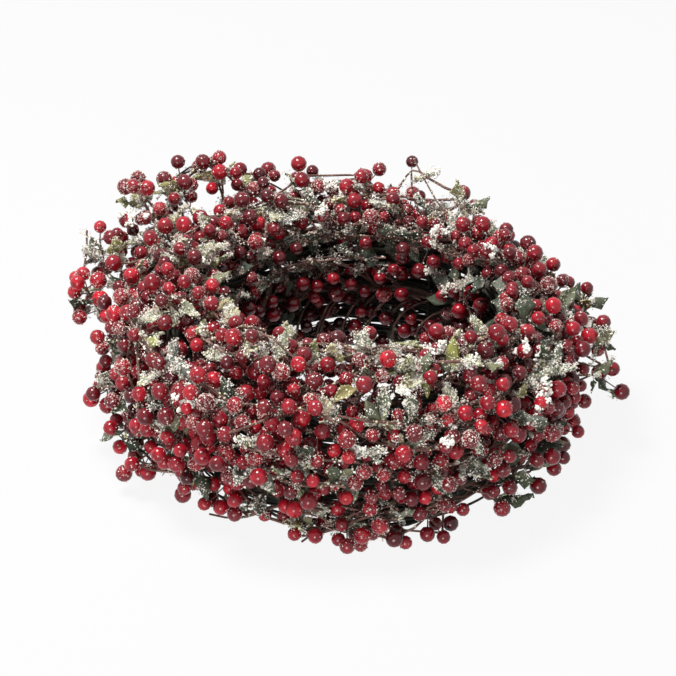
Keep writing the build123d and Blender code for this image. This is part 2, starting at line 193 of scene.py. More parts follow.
def hoop_shoot(radius, height, thickness, wander):
    """Points of one shoot that wanders about a hoop's line, above the table."""
    turns = np.linspace(0, 2 * pi, hoop_points, endpoint=False)
    drift = np.zeros((2, hoop_points))
    for waves in hoop_waves:
        size = wander * hoop_draw.normal(0, wave_scatter, 2) / waves ** wave_falloff
        start = hoop_draw.uniform(0, 2 * pi, 2)
        drift += size[:, None] * np.cos(waves * turns + start[:, None])
    around = radius + drift[0]
    swells = np.cos(shoot_swells * turns + hoop_draw.uniform(0, 2 * pi))
    thicknesses = thickness * (1 + shoot_swell * swells)
    heights = np.maximum(height + drift[1], shoot_clearance * thicknesses)
    return np.c_[around * np.cos(turns), around * np.sin(turns), heights, thicknesses]


for name in sorted(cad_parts):
    if name != "base_hoop" and not name.startswith("twig_hoop"):
        continue
    low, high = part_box(name)
    hoop_radius = (high[0] - low[0] - (high[2] - low[2])) / 2
    hoop_height = (low[2] + high[2]) / 2
    stout = name == "base_hoop"
    thickness = base_shoot_radius if stout else shoot_radius
    wander = base_wander if stout else hoop_wander
    shoots = [hoop_shoot(hoop_radius, hoop_height, thickness, wander) for _ in range(hoop_shoots)]
    if not stout:
        for _ in range(hoop_weavers):
            shoots.append(hoop_shoot(hoop_radius, hoop_height, thickness, weaver_wander))
    mesh = twig_mesh("vine_" + name, shoots, True, hoop_sides)
    finish_piece("vine_" + name, mesh, "hoop_bark", vine_bark, name)

# Binding wires and stem ties
# Thin lacquered florist wire is drawn round the whole bundle at even spaces and twisted tight.
# Short loops of a finer wire hold every spray stem to the hoop it lies on.
wire_lacquer, nodes, links, shader = new_material("florist wire")
wear = noise_texture(nodes, links, scale=700)
wire_greens = ((0.4, (0.012, 0.014, 0.010)), (0.62, (0.03, 0.032, 0.022)), (0.8, (0.10, 0.09, 0.07)))
links.new(colour_ramp(nodes, links, wear, wire_greens), shader.inputs["Base Color"])
add_bump(nodes, links, wear, shader, strength=0.2, distance=0.0002)
shader.inputs["Metallic"].default_value = 0.35
shader.inputs["Roughness"].default_value = 0.42
for name in ("binding_wires", "stem_ties"):
    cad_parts[name].data.materials.clear()
    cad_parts[name].data.materials.append(wire_lacquer)

# Spray stems
# Each spray has a main stem of wire wrapped in brown tape, laid along a hoop and tied to it.
# The tape is wound on a slant and rubbed pale along its raised edges.
stem_tape = bark_material(
    "stem tape", (0.035, 0.014, 0.010), (0.12, 0.052, 0.038), (0.30, 0.20, 0.16), 0.7
)
for spray in spray_names:
    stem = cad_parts[spray + "_stem"]
    stem.data.materials.clear()
    stem.data.materials.append(stem_tape)


# Sprigs and berry wires
# Thin side twigs of taped wire bend out from the stem and thin towards their tips.
# Long shoots run on from some tips to the next, and every berry sits on a wire of its own.
def mesh_triangles(mesh):
    """Corners of a mesh's triangles."""
    mesh.calc_loop_triangles()
    points = np.empty(len(mesh.vertices) * 3, np.float32)
    mesh.vertices.foreach_get("co", points)
    corners = np.empty(len(mesh.loop_triangles) * 3, np.int32)
    mesh.loop_triangles.foreach_get("vertices", corners)
    return points.astype(float).reshape(-1, 3)[corners].reshape(-1, 3, 3)


point_grid = 1e6
key_step = 2000003


def node_solids(name):
    """Corner points of each separate solid in a frame node."""
    triangles = mesh_triangles(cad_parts[name].data)
    grid = np.round(triangles.reshape(-1, 3) * point_grid).astype(np.int64)
    keys = (grid[:, 0] * key_step + grid[:, 1]) * key_step + grid[:, 2]
    first = np.unique(keys, return_index=True)[1]
    last = len(keys) - 1 - np.unique(keys[::-1], return_index=True)[1]
    opened = np.bincount(first // 3, minlength=len(triangles))
    closed = np.bincount(last // 3, minlength=len(triangles))
    cuts = np.flatnonzero(np.cumsum(opened - closed) == 0) + 1
    return [solid.reshape(-1, 3) for solid in np.split(triangles, cuts) if len(solid)]


def main_axes(points):
    """Directions in which points spread most, next and least."""
    return np.linalg.svd(points - points.mean(axis=0), full_matrices=False)[2]


sprig_radius = 0.0008
sprig_tip_radius = 0.0005
sprig_least_thickness = 0.0011
sprig_knots = 9
sprig_sides = 6
sprig_sway = 0.0003
sprig_swells = (0.85, 1.25)
berry_wire_radius = 0.00036
berry_wire_sunk = 0.0007
berry_wire_knots = 4
berry_wire_sides = 4
end_slice = 0.0008
sprig_draw = np.random.default_rng(29)
base_low, base_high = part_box("base_hoop")
ring_radius = (base_high[0] - base_low[0] - (base_high[2] - base_low[2])) / 2


def centre_line(solid, count):
    """Points along the middle of a bent rod, with the end nearer the ring's core first."""
    along = solid @ main_axes(solid)[0]
    edges = np.linspace(along.min(), along.max(), count - 1)
    slices = [along < along.min() + end_slice]
    slices += [(along >= start) & (along <= end) for start, end in zip(edges, edges[1:])]
    slices.append(along > along.max() - end_slice)
    line = np.array([solid[chosen].mean(axis=0) for chosen in slices if chosen.any()])
    offsets = [abs(np.hypot(end[0], end[1]) - ring_radius) + abs(end[2]) for end in (line[0], line[-1])]
    return line if offsets[0] < offsets[1] else line[::-1]


runner_share = 1.0
runner_radius = 0.00075
runner_swells = (0.6, 1.2)
runner_lift = 0.005
runner_lifts = (0.2, 1.6)
runner_sway = 4 * sprig_sway
runner_reach = 0.042
runner_least_reach = 0.3 * runner_reach
runner_margin = 2 * runner_radius
core_height = 0.037
box_low, box_high = np.array(cad_box[0]), np.array(cad_box[1])


def from_core(points):
    """Steps to points from the middle of the ring's section beside them."""
    around = np.hypot(points[:, 0], points[:, 1])
    core = np.c_[points[:, :2] * (ring_radius / around)[:, None], np.full(len(points), core_height)]
    return points - core


def runner_line(tips, start):
    """Points of a shoot that runs over the berries from one sprig's tip past two of its neighbours."""
    chosen = [start]
    for _ in range(2):
        steps = tips - tips[chosen[-1]]
        spans = np.linalg.norm(steps, axis=1)
        ahead = steps @ (tips[chosen[-1]] - tips[chosen[0]]) >= 0
        ahead &= (spans > runner_least_reach) & (spans < runner_reach)
        if not ahead.any():
            return None
        chosen.append(sprig_draw.choice(np.flatnonzero(ahead)))
    line = tips[chosen]
    line = np.vstack([line[0], line[:2].mean(axis=0), line[1], line[1:].mean(axis=0), line[2]])
    outward = from_core(line)
    outward /= np.linalg.norm(outward, axis=1, keepdims=True)
    line += runner_lift * sprig_draw.uniform(*runner_lifts, (len(line), 1)) * outward
    line += sprig_draw.normal(0, runner_sway, line.shape)
    return np.clip(line, box_low + runner_margin, box_high - runner_margin)


wire_ends = []
twig_triangles = {}
for spray in spray_names:
    sprigs = []
    wires = []
    for solid in node_solids(spray + "_sprigs"):
        if np.ptp(solid @ main_axes(solid)[2]) > sprig_least_thickness:
            line = centre_line(solid, sprig_knots)
            line[1:-1] += sprig_draw.normal(0, sprig_sway, line[1:-1].shape)
            taper = np.linspace(sprig_radius, sprig_tip_radius, len(line))
            sprigs.append(np.c_[line, taper * sprig_draw.uniform(*sprig_swells, len(line))])
        else:
            line = centre_line(solid, berry_wire_knots)[[0, -1]]
            run = line[1] - line[0]
            wire_ends.extend(line)
            line += np.outer((-1, 1), berry_wire_sunk * run / np.linalg.norm(run))
            wires.append(np.c_[line, np.full(2, berry_wire_radius)])
    tips = np.array([sprig[-1, :3] for sprig in sprigs])
    for start in np.flatnonzero(sprig_draw.random(len(tips)) < runner_share):
        line = runner_line(tips, start)
        if line is not None:
            sprigs.append(np.c_[line, runner_radius * sprig_draw.uniform(*runner_swells, len(line))])
    mesh = twig_mesh(spray + "_twigs", sprigs, False, sprig_sides)
    twig_triangles[spray] = mesh_triangles(mesh)
    bm = bmesh.new()
    bm.from_mesh(mesh)
    bm.from_mesh(twig_mesh(spray + "_wires", wires, False, berry_wire_sides))
    bm.to_mesh(mesh)
    bm.free()
    finish_piece(spray + "_twigs", mesh, "stem_bark", stem_tape, spray + "_sprigs")
wire_ends = np.array(wire_ends)


# Berries
# Foam beads dipped in red lacquer, pushed on to their wires, which leaves a dimple at the end.
# They run from bright red through crimson to dark maroon, and no two are quite as round.
# Berries in the hollow below the crest are made darker, as painted shade.
def small_shape(name, build, smooth=True):
    """Small mesh made by bmesh operators."""
    bm = bmesh.new()
    build(bm)
    bmesh.ops.recalc_face_normals(bm, faces=bm.faces)
    for face in bm.faces:
        face.smooth = smooth
    mesh = bpy.data.meshes.new(name)
    bm.to_mesh(mesh)
    bm.free()
    return mesh


def stamp(name, shape, places, **marks):
    """Mesh of copies of a small shape, one at each 4 x 4 place, with each mark's value for every copy."""
    count = len(places)
    points = np.empty(len(shape.vertices) * 3)
    shape.vertices.foreach_get("co", points)
    points = np.c_[points.reshape(-1, 3), np.ones(len(shape.vertices))]
    copies = np.einsum("nij,kj->nki", places, points)[:, :, :3]
    corners = np.empty(len(shape.loops), np.int64)
    shape.loops.foreach_get("vertex_index", corners)
    starts = np.empty(len(shape.polygons), np.int64)
    shape.polygons.foreach_get("loop_start", starts)
    steps = np.arange(count)[:, None]
    mesh = bpy.data.meshes.new(name)
    mesh.vertices.add(count * len(points))
    mesh.vertices.foreach_set("co", np.ascontiguousarray(copies).ravel())
    mesh.loops.add(count * len(corners))
    mesh.loops.foreach_set("vertex_index", (corners + steps * len(points)).ravel())
    mesh.polygons.add(count * len(starts))
    mesh.polygons.foreach_set("loop_start", (starts + steps * len(corners)).ravel())
    mesh.update(calc_edges=True)
    mesh.polygons.foreach_set("use_smooth", np.full(count * len(starts), shape.polygons[0].use_smooth))
    for mark, values in marks.items():
        layer = mesh.attributes.new(mark, "FLOAT", "POINT")
        layer.data.foreach_set("value", np.repeat(np.asarray(values, float), len(points)))
    return mesh


def facing_turns(draw, ways):
    """Rotations that turn the Z axis to each way, with a random spin about it."""
    ways = ways / np.linalg.norm(ways, axis=1, keepdims=True)
    aside = np.cross(ways, draw.normal(size=ways.shape))
    aside /= np.linalg.norm(aside, axis=1, keepdims=True)
    return np.stack([aside, np.cross(ways, aside), ways], axis=2)


def place_matrices(turns, scales, middles):
    """4 x 4 places from rotations, scales along the shape's axes and middles."""
    places = np.zeros((len(middles), 4, 4))
    places[:, :3, :3] = turns * np.asarray(scales)[:, None, :]
    places[:, :3, 3] = middles
    places[:, 3, 3] = 1
    return places


def mark_value(nodes, name):
    """Value of a mark on the mesh."""
    mark = nodes.new("ShaderNodeAttribute")
    mark.attribute_name = name
    return mark.outputs["Fac"]


def mix_colours(nodes, links, factor, first, second, blend="MIX"):
    """Mix of a colour socket with a colour or another socket, by a share or a socket."""
    mix = nodes.new("ShaderNodeMix")
    mix.data_type = "RGBA"
    mix.blend_type = blend
    if isinstance(factor, float):
        mix.inputs["Factor"].default_value = factor
    else:
        links.new(factor, mix.inputs["Factor"])
    links.new(first, mix.inputs["A"])
    if isinstance(second, tuple):
        mix.inputs["B"].default_value = (*second, 1)
    else:
        links.new(second, mix.inputs["B"])
    return mix.outputs["Result"]


def arithmetic(nodes, links, operation, first, second):
    """Sum, product or maximum of a value socket and a number or another socket."""
    step = nodes.new("ShaderNodeMath")
    step.operation = operation
    links.new(first, step.inputs[0])
    if isinstance(second, float):
        step.inputs[1].default_value = second
    else:
        links.new(second, step.inputs[1])
    return step.outputs[0]


def value_range(nodes, links, value, low, high):
    """Value from 0 to 1 spread over a range."""
    spread = nodes.new("ShaderNodeMapRange")
    spread.inputs["To Min"].default_value = low
    spread.inputs["To Max"].default_value = high
    links.new(value, spread.inputs["Value"])
    return spread.outputs["Result"]


dimple_depth = 0.2
berry_tone = (0.59, 0.22)
berry_frost = (0.40, 0.38)
berry_least_round = 0.96
# Painted shade: how much darker the tones of berries in the hollow are made.
painted_inner_shade = 0.12
crest_height = 0.085


def build_berry(bm):
    """Bead of one unit in radius, with the dimple of its wire on top."""
    bmesh.ops.create_icosphere(bm, subdivisions=2, radius=1)
    dimple = max(bm.verts, key=lambda vertex: vertex.co.z)
    dimple.co.z -= dimple_depth


def within(points):
    """True for points in the hollow that the candle stands in, below the ring's crest."""
    return (np.hypot(points[:, 0], points[:, 1]) < ring_radius) & (points[:, 2] < crest_height)


berry_draw = np.random.default_rng(73)
berry_shape = small_shape("berry", build_berry)
berry_lacquer, nodes, links, shader = new_material("berry lacquer")
# The tone mark is each berry's own red, lowered for berries in the hollow as painted shade.
reds = colour_ramp(nodes, links, mark_value(nodes, "tone"), (
    (0.0, (0.045, 0.002, 0.004)), (0.35, (0.14, 0.004, 0.009)),
    (0.7, (0.31, 0.006, 0.016)), (1.0, (0.55, 0.011, 0.025)),
))
mottle = noise_texture(nodes, links, scale=260)
mottle_share = colour_ramp(nodes, links, mottle, ((0.35, (0.6, 0.6, 0.6)), (0.6, (0, 0, 0))))
lacquer = mix_colours(nodes, links, mottle_share, reds, (0.035, 0.002, 0.005))
dusting = noise_texture(nodes, links, scale=1700, detail=2)
dust_spots = colour_ramp(nodes, links, dusting, ((0.56, (0, 0, 0)), (0.68, (0.55, 0.55, 0.55))))
dust_share = arithmetic(nodes, links, "MULTIPLY", dust_spots, mark_value(nodes, "frost"))
links.new(mix_colours(nodes, links, dust_share, lacquer, (0.46, 0.19, 0.19)), shader.inputs["Base Color"])
links.new(value_range(nodes, links, dust_share, low=0.15, high=0.6), shader.inputs["Roughness"])
shader.inputs["Specular IOR Level"].default_value = 0.38
shader.inputs["Sheen Weight"].default_value = 0.1
shader.inputs["Sheen Roughness"].default_value = 0.35
shader.inputs["Sheen Tint"].default_value = (0.85, 0.55, 0.55, 1)
add_bump(nodes, links, dusting, shader, strength=0.15, distance=0.0004)

berry_middles = {}
berry_radii = {}
berry_frosts = {}
berry_meshes = {}
for spray in spray_names:
    solids = node_solids(spray + "_berries")
    middles = np.array([(solid.min(axis=0) + solid.max(axis=0)) / 2 for solid in solids])
    radii = np.array([np.ptp(solid, axis=0).max() / 2 for solid in solids])
    nearest = [np.argmin(np.linalg.norm(wire_ends - middle, axis=1)) for middle in middles]
    # Berries in the hollow get darker tones: painted shade.
    tones = berry_draw.normal(*berry_tone, len(solids)) - painted_inner_shade * within(middles)
    tones = np.clip(tones, 0, 1)
    frosts = np.clip(berry_draw.normal(*berry_frost, len(solids)), 0, 1)
    scales = radii[:, None] * berry_draw.uniform(berry_least_round, 1.0, (len(solids), 3))
    places = place_matrices(facing_turns(berry_draw, wire_ends[nearest] - middles), scales, middles)
    mesh = stamp(spray + "_beads", berry_shape, places, tone=tones, frost=frosts)
    finish_piece(spray + "_beads", mesh, "berry_lacquer", berry_lacquer, spray + "_berries")
    berry_middles[spray], berry_radii[spray], berry_frosts[spray] = middles, radii, frosts
    berry_meshes[spray] = mesh

# Leaves
# Small toothed ovals die-cut from stiffened cloth, creased and crumpled, with two leaflets below.
# Most are dark or greyish green under their frost, with some lime and some dried to tan.
# Leaves on the crest get paler tones as painted light, and those in the hollow darker ones as painted
# shade.
leaf_rows = 6
leaf_columns = 4
leaf_stalk_share = 0.17
leaf_stalk_width = 0.05
leaf_thickness = 0.03
leaf_fold = radians(18)
leaf_belly = 0.85
leaf_fullness = 0.8
leaf_edge = 0.9
leaf_crease_share = 0.6
leaf_ripples = 7
leaf_tooth = 0.2
leaf_crumple = 0.035
leaf_draw = np.random.default_rng(19)
corner_step = 1000


def face_order(face):
    """Number that puts faces in the order of their corners, which is the same in every run."""
    first, second, third = sorted(corner.index for corner in face.verts)[:3]
    return (first * corner_step + second) * corner_step + third


def build_leaf(curl, twist, ripple, roll):
    """Leaf one unit long from its stalk's root and one unit wide, creased, curled, rolled and crumpled."""
    def build(bm):
        bmesh.ops.create_grid(bm, x_segments=leaf_rows, y_segments=leaf_columns, size=0.5)
        for vertex in bm.verts:
            row = round((vertex.co.x + 0.5) * leaf_rows)
            across = vertex.co.y * 2
            blade = max(row - 1, 0) / (leaf_rows - 1)
            swell = max(sin(pi * blade ** leaf_belly), 0) ** leaf_fullness
            half = max(swell, leaf_stalk_width) / 2
            if abs(across) > leaf_edge and row % 2:
                half *= 1 - leaf_tooth
            along = leaf_stalk_share + (1 - leaf_stalk_share) * blade if row else 0
            vertex.co.x = along
            vertex.co.y = across * half
            crease = abs(across) * half * tan(leaf_fold) * leaf_crease_share
            wave = ripple * sin(leaf_ripples * blade) * across * half - roll * half * across ** 2
            wave += leaf_crumple * leaf_draw.normal() * min(row, 1)
            vertex.co.z = crease + wave - curl * along ** 2 + twist * across * half * along
        bmesh.ops.recalc_face_normals(bm, faces=bm.faces)
        bmesh.ops.solidify(bm, geom=bm.faces[:], thickness=leaf_thickness)
        bm.verts.index_update()
        bm.faces.sort(key=face_order)
    return build


# Curl, twist, ripple and roll of each kind of leaf
leaf_kinds = (
    (0.12, 0.15, 0.25, 0.15), (0.25, -0.2, -0.3, 0.3), (-0.15, 0.25, 0.35, -0.2),
    (0.05, -0.15, -0.25, 0.45), (0.3, 0.1, 0.2, -0.25), (-0.05, -0.3, 0.3, 0.2),
)
leaf_shapes = [small_shape(f"leaf {number}", build_leaf(*kind)) for number, kind in enumerate(leaf_kinds)]
leaf_tones = (0.04, 0.2, 0.36, 0.5, 0.62, 0.8, 1.0)
leaf_tone_shares = (0.16, 0.2, 0.22, 0.18, 0.12, 0.07, 0.05)
# Painted light and shade: paler tones for leaves above this height, darker ones for leaves in the hollow.
painted_light_leaf_height = 0.085
painted_light_leaf_tones = (0.45, 0.95)
painted_shade_leaf_tones = (0, 0.3)
leaf_frost = (0.28, 0.16)
leaf_frost_limits = (0.05, 0.6)
leaf_belly_share = 0.9
leaf_rim_share = 0.7
leaf_root_slice = 1e-4
leaf_scale = 0.82
leaflet_scale = 0.42
leaflet_sizes = (0.7, 1.2)
leaflet_turn = radians(55)
leaflet_turns = (0.6, 1.4)
leaflet_rise = 0.5
shrink_rounds = 12
shrink_share = 0.85
leaf_cloth, nodes, links, shader = new_material("frosted leaf cloth")
# The tone mark is each leaf's own colour, raised on the crest as painted light and lowered in the hollow as
# painted shade.
greens = colour_ramp(nodes, links, mark_value(nodes, "tone"), (
    (0.0, (0.012, 0.024, 0.009)), (0.35, (0.046, 0.060, 0.028)), (0.6, (0.145, 0.150, 0.085)),
    (0.8, (0.24, 0.24, 0.05)), (1.0, (0.26, 0.175, 0.095)),
))
crystals = noise_texture(nodes, links, scale=1300, roughness=0.75)
patches = noise_texture(nodes, links, scale=380)
frost_reach = arithmetic(nodes, links, "ADD", crystals, patches)
frost_reach = arithmetic(nodes, links, "ADD", frost_reach, mark_value(nodes, "frost"))
frost_reach = arithmetic(nodes, links, "MULTIPLY", frost_reach, 0.5)
frost_cover = colour_ramp(nodes, links, frost_reach, ((0.58, (0, 0, 0)), (0.80, (0.3, 0.3, 0.3))))
links.new(mix_colours(nodes, links, frost_cover, greens, (0.60, 0.59, 0.52)), shader.inputs["Base Color"])
add_bump(nodes, links, crystals, shader, strength=0.6, distance=0.0006)
shader.inputs["Roughness"].default_value = 0.62


def kept_in_box(shape, places):
    """Places of leaves, with those that would leave the ring's box made smaller."""
    points = np.array([(*vertex.co, 1) for vertex in shape.vertices])
    places = places.copy()
    for _ in range(shrink_rounds):
        copies = np.einsum("nij,kj->nki", places, points)[:, :, :3]
        outside = ((copies < box_low) | (copies > box_high)).any(axis=(1, 2))
        places[outside, :3, :3] *= shrink_share
    return places


leaf_cuts = {}
for spray in spray_names:
    places = []
    for solid in node_solids(spray + "_leaves"):
        along, across, up = main_axes(solid)
        run = solid @ along
        width = np.abs((solid - solid.mean(axis=0)) @ across)
        if run[width > leaf_belly_share * width.max()].mean() < (run.min() + run.max()) / 2:
            along, run = -along, -run
        rise = solid @ up
        if rise[width > leaf_rim_share * width.max()].mean() < rise.mean():
            up = -up
        length = np.ptp(run)
        place = np.eye(4)
        place[:3, 3] = solid[run < run.min() + leaf_root_slice].mean(axis=0)
        widths = np.array([length, 2 * width.max(), length]) * leaf_scale
        place[:3, :3] = np.c_[along, np.cross(up, along), up] * widths
        places.append(place)
        for side in (-1, 1):
            turn = side * leaflet_turn * leaf_draw.uniform(*leaflet_turns)
            leaflet = place.copy()
            aside = np.cross(up, along)
            tilt = leaf_draw.uniform(-leaflet_rise, leaflet_rise)
            way = along * cos(turn) + aside * sin(turn) + up * tilt
            way /= np.linalg.norm(way)
            over = np.cross(way, aside * cos(turn) - along * sin(turn))
            over /= np.linalg.norm(over)
            small = leaflet_scale * leaf_draw.uniform(*leaflet_sizes)
            widths = np.array([length, 2 * width.max(), length]) * small
            leaflet[:3, :3] = np.c_[way, np.cross(over, way), over] * widths
            places.append(leaflet)
    places = np.array(places)
    tones = leaf_draw.choice(leaf_tones, len(places), p=leaf_tone_shares)
    # Paler tones on the crest are painted light, darker tones in the hollow painted shade.
    high = places[:, 2, 3] > painted_light_leaf_height
    tones[high] = leaf_draw.uniform(*painted_light_leaf_tones, high.sum())
    painted_shade_leaves = within(places[:, :3, 3])
    tones[painted_shade_leaves] = leaf_draw.uniform(*painted_shade_leaf_tones, painted_shade_leaves.sum())
    frosts = np.clip(leaf_draw.normal(*leaf_frost, len(places)), *leaf_frost_limits)
    kinds = leaf_draw.integers(0, len(leaf_shapes), len(places))
    leaf_cuts[spray] = []
    bm = bmesh.new()
    for kind, shape in enumerate(leaf_shapes):
        chosen = kinds == kind
        if not chosen.any():
            continue
        places[chosen] = kept_in_box(shape, places[chosen])
        cut = stamp("cut", shape, places[chosen], tone=tones[chosen], frost=frosts[chosen])
        triangles = mesh_triangles(cut)
        faces = len(triangles) // chosen.sum()
        cut_frosts, cut_tones = np.repeat(frosts[chosen], faces), np.repeat(tones[chosen], faces)
        leaf_cuts[spray].append((triangles, cut_frosts, cut_tones))
        bm.from_mesh(cut)
        bpy.data.meshes.remove(cut)
    mesh = bpy.data.meshes.new(spray + "_blades")
    bm.to_mesh(mesh)
    bm.free()
    finish_piece(spray + "_blades", mesh, "leaf_cloth", leaf_cloth, spray + "_leaves")


# Frost
# Clear and white plastic grains, stuck on with glue over the finished ring as sparkling frost.
# They crust where berries meet, coat the leaves, lie thinly along the sprigs and thin out low down.
# Grains in the hollow are tinted darker and redder, as painted shade.
def dust_points(draw, triangles, weights, count, lean):
    """Random points on triangles, by area and weight, leaning to faces that look up, with their faces."""
    sides = triangles[:, 1:] - triangles[:, :1]
    normals = np.cross(sides[:, 0], sides[:, 1])
    areas = np.linalg.norm(normals, axis=1)
    normals /= np.maximum(areas, 1e-12)[:, None]
    shares = areas * weights * (1 + lean * normals[:, 2])
    picks = draw.choice(len(triangles), count, p=shares / shares.sum())
    spots = draw.random((count, 2))
    folded = spots.sum(axis=1) > 1
    spots[folded] = 1 - spots[folded]
    return triangles[picks, 0] + np.einsum("nk,nkj->nj", spots, sides[picks]), normals[picks], picks


def gaps_to_next(points, middles, radii):
    """Gaps from points on berries to the second nearest berry, the nearest being their own."""
    squares = (points ** 2).sum(axis=1)[:, None] + (middles ** 2).sum(axis=1) - 2 * points @ middles.T
    gaps = np.sqrt(np.maximum(squares, 0)) - radii
    return np.partition(gaps, 1, axis=1)[:, 1]


frost_draw = np.random.default_rng(97)
grain_radius = 0.00045
grain_margin = 0.0012
crust_depth = 0.0022
grain_size_scatter = 0.3
grain_girths = (0.6, 1.0)
berry_tries = 175
berry_lean = 0.3
berry_tint = (0.5, 0.25)
bare_berry_weight = 0.25
bare_share = 0.03
sugared_least = 0.7
sugared_share = 2.0
leaf_faces = len(mesh_triangles(leaf_shapes[0]))
dust_lean = 0.6
crumb_lean = 0.8
lump_lean = 0.5
lump_sizes = (0.6, 1.5)
lump_rise = 0.5
lump_limit = 1.6
lump_tint = (0.72, 0.16)
lump_grain_scatter = 0.14
leaf_grains = 30
leaf_tint = (0.82, 0.13)
leaf_lumps = 4.0
leaf_lump_grains = 22
leaf_lump_spread = 0.0011
leaf_lump_tint = 0.12
twig_grains = 1700
twig_tint = (0.62, 0.2)
twig_lumps = 150
twig_lump_grains = 30
twig_lump_spread = 0.0013
hidden_reach = 0.022
shown_reach = 0.034
least_shown = 0.05
inner_frost_share = 0.8
frost_heights = (0.03, 0.095)
frost_shares = (0.55, 1.15)
# Painted shade: how far the tint of grains in the hollow is lowered.
painted_inner_shade_tint = 0.18


def build_grain(bm):
    """Four-sided crystal about two units across."""
    bmesh.ops.create_cone(bm, segments=3, radius1=1.1, radius2=0, depth=1.6, cap_ends=True)


grain_shape = small_shape("grain", build_grain, smooth=False)
frost_grains, nodes, links, shader = new_material("frost grains")
# The tint mark is lowered for grains in the hollow, as painted shade.
ice = colour_ramp(nodes, links, mark_value(nodes, "tint"), (
    (0.0, (0.26, 0.03, 0.04)), (0.3, (0.46, 0.19, 0.18)), (0.55, (0.65, 0.53, 0.46)),
    (0.75, (0.78, 0.75, 0.65)), (1.0, (0.93, 0.91, 0.86)),
))
stains = colour_ramp(nodes, links, mark_value(nodes, "stain"), (
    (0.0, (1.0, 1.0, 1.0)), (0.4, (0.84, 0.88, 0.70)), (0.8, (0.86, 0.86, 0.50)), (1.0, (0.90, 0.74, 0.54)),
))
links.new(mix_colours(nodes, links, 1.0, ice, stains, "MULTIPLY"), shader.inputs["Base Color"])
cloudiness = noise_texture(nodes, links, scale=900, detail=2)
links.new(value_range(nodes, links, cloudiness, low=0.08, high=0.5), shader.inputs["Roughness"])


def build_crumb(bm):
    """Twenty-sided crumb two units across."""
    bmesh.ops.create_icosphere(bm, subdivisions=1, radius=1)


crumb_shape = small_shape("crumb", build_crumb, smooth=False)
crumb_radius = 0.0008
leaf_crumbs = 20
small_crumb_radius = 0.75 * crumb_radius
leaf_stains = (0.3, 1)
twig_crumbs = 450
twig_stain = 0.6
twig_stains = (0.3, 1.6)
crumb_tint = (0.82, 0.12)


def add_grains(name, shape, radius, points, tints, stains):
    """Piece of grains of random size and turn at the points that leave room for them in the ring's box,
    with those in the hollow tinted darker as painted shade.
    """
    fits = (points > box_low + grain_margin) & (points < box_high - grain_margin)
    points, tints, stains = (values[fits.all(axis=1)] for values in (points, tints, stains))
    sizes = radius * np.exp(frost_draw.normal(0, grain_size_scatter, len(points)))
    sizes = np.minimum(sizes, grain_margin)
    scales = sizes[:, None] * frost_draw.uniform(*grain_girths, (len(points), 3))
    turns = facing_turns(frost_draw, frost_draw.normal(size=points.shape))
    places = place_matrices(turns, scales, points)
    # Grains in the hollow get a darker, redder tint: painted shade.
    tints = np.clip(tints - painted_inner_shade_tint * within(points), 0, 1)
    mesh = stamp(name, shape, places, tint=tints, stain=np.clip(stains, 0, 1))
    finish_piece(name, mesh, "frost_grains", frost_grains)


def shown(triangles):
    """Weights of triangles, least for those deep in the ring or low on it, most for those on its crest."""
    middles = triangles.mean(axis=1)
    spans = np.linalg.norm(from_core(middles), axis=1)
    weights = np.clip((spans - hidden_reach) / (shown_reach - hidden_reach), least_shown, 1)
    weights = weights * np.interp(middles[:, 2], frost_heights, frost_shares)
    return np.where(within(middles), inner_frost_share * weights, weights)


def lump_points(draw, triangles, weights, lumps, grains, spread):
    """Points heaped in lumps on triangles, and each point's tint, which differs from lump to lump."""
    spots, normals, _ = dust_points(draw, triangles, weights, lumps, lump_lean)
    spreads = spread * draw.uniform(*lump_sizes, (lumps, 1, 1))
    scatter = np.clip(draw.normal(size=(lumps, grains, 3)), -lump_limit, lump_limit)
    points = (spots + lump_rise * spread * normals)[:, None] + spreads * scatter
    tints = draw.normal(*lump_tint, (lumps, 1)) + draw.normal(0, lump_grain_scatter, (lumps, grains))
    return points.reshape(-1, 3), tints.ravel()


